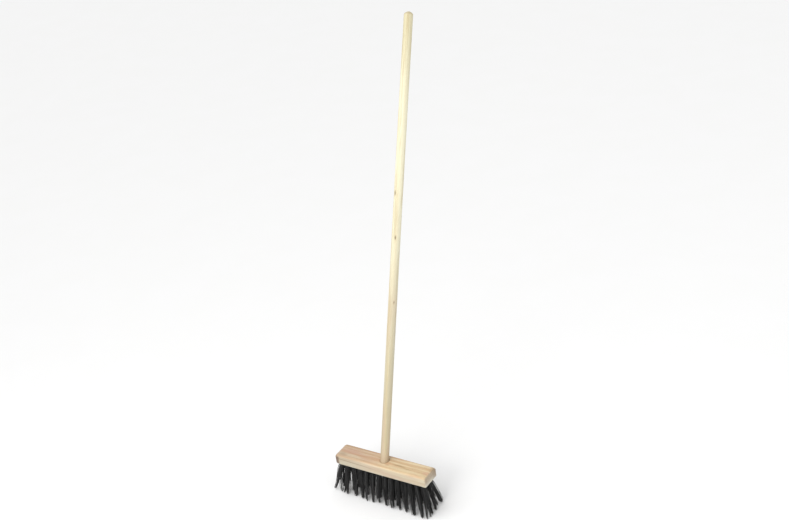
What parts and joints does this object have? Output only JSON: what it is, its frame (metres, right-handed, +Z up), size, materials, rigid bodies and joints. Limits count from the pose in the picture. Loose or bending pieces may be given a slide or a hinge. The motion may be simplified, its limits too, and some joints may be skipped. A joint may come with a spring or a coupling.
{
  "type": "push broom",
  "caption": "Push broom with a rectangular wooden stock, staggered rows of stiff black bristle tufts and a round wooden handle set in an angled socket.",
  "frame": {"origin": "on the floor under the middle of the stock, on the plane the bristle tips stand on", "axes": "+Z up from the floor, X along the stock, +Y towards the back, the side the handle leans to"},
  "size_m": [0.3166, 0.4434, 1.2612],
  "materials": {
    "stock_wood": "thin clear varnish, satin, over planed wood with a rounded top; the species is a guess (beech)",
    "handle_wood": "pale softwood, planed and waxed, satin",
    "bristle": "extruded black plastic filament, satin",
    "steel": "zinc-plated countersunk screw",
    "wire": "galvanised flat wire"
  },
  "bodies": {
    "root": {"handle": "handle_wood", "handle_screw": "steel", "stock": "stock_wood", "tuft_anchors": "wire", "tuft_back_01": "bristle", "tuft_back_02": "bristle", "tuft_back_03": "bristle", "tuft_back_04": "bristle", "tuft_back_05": "bristle", "tuft_back_06": "bristle", "tuft_back_07": "bristle", "tuft_back_08": "bristle", "tuft_back_09": "bristle", "tuft_back_10": "bristle", "tuft_back_11": "bristle", "tuft_back_12": "bristle", "tuft_back_13": "bristle", "tuft_front_01": "bristle", "tuft_front_02": "bristle", "tuft_front_03": "bristle", "tuft_front_04": "bristle", "tuft_front_05": "bristle", "tuft_front_06": "bristle", "tuft_front_07": "bristle", "tuft_front_08": "bristle", "tuft_front_09": "bristle", "tuft_front_10": "bristle", "tuft_front_11": "bristle", "tuft_front_12": "bristle", "tuft_front_13": "bristle", "tuft_front_14": "bristle", "tuft_midback_01": "bristle", "tuft_midback_02": "bristle", "tuft_midback_03": "bristle", "tuft_midback_04": "bristle", "tuft_midback_05": "bristle", "tuft_midback_06": "bristle", "tuft_midback_07": "bristle", "tuft_midback_08": "bristle", "tuft_midback_09": "bristle", "tuft_midback_10": "bristle", "tuft_midback_11": "bristle", "tuft_midback_12": "bristle", "tuft_midback_13": "bristle", "tuft_midback_14": "bristle", "tuft_midfront_01": "bristle", "tuft_midfront_02": "bristle", "tuft_midfront_03": "bristle", "tuft_midfront_04": "bristle", "tuft_midfront_05": "bristle", "tuft_midfront_06": "bristle", "tuft_midfront_07": "bristle", "tuft_midfront_08": "bristle", "tuft_midfront_09": "bristle", "tuft_midfront_10": "bristle", "tuft_midfront_11": "bristle", "tuft_midfront_12": "bristle", "tuft_midfront_13": "bristle"}
  },
  "joints": []
}
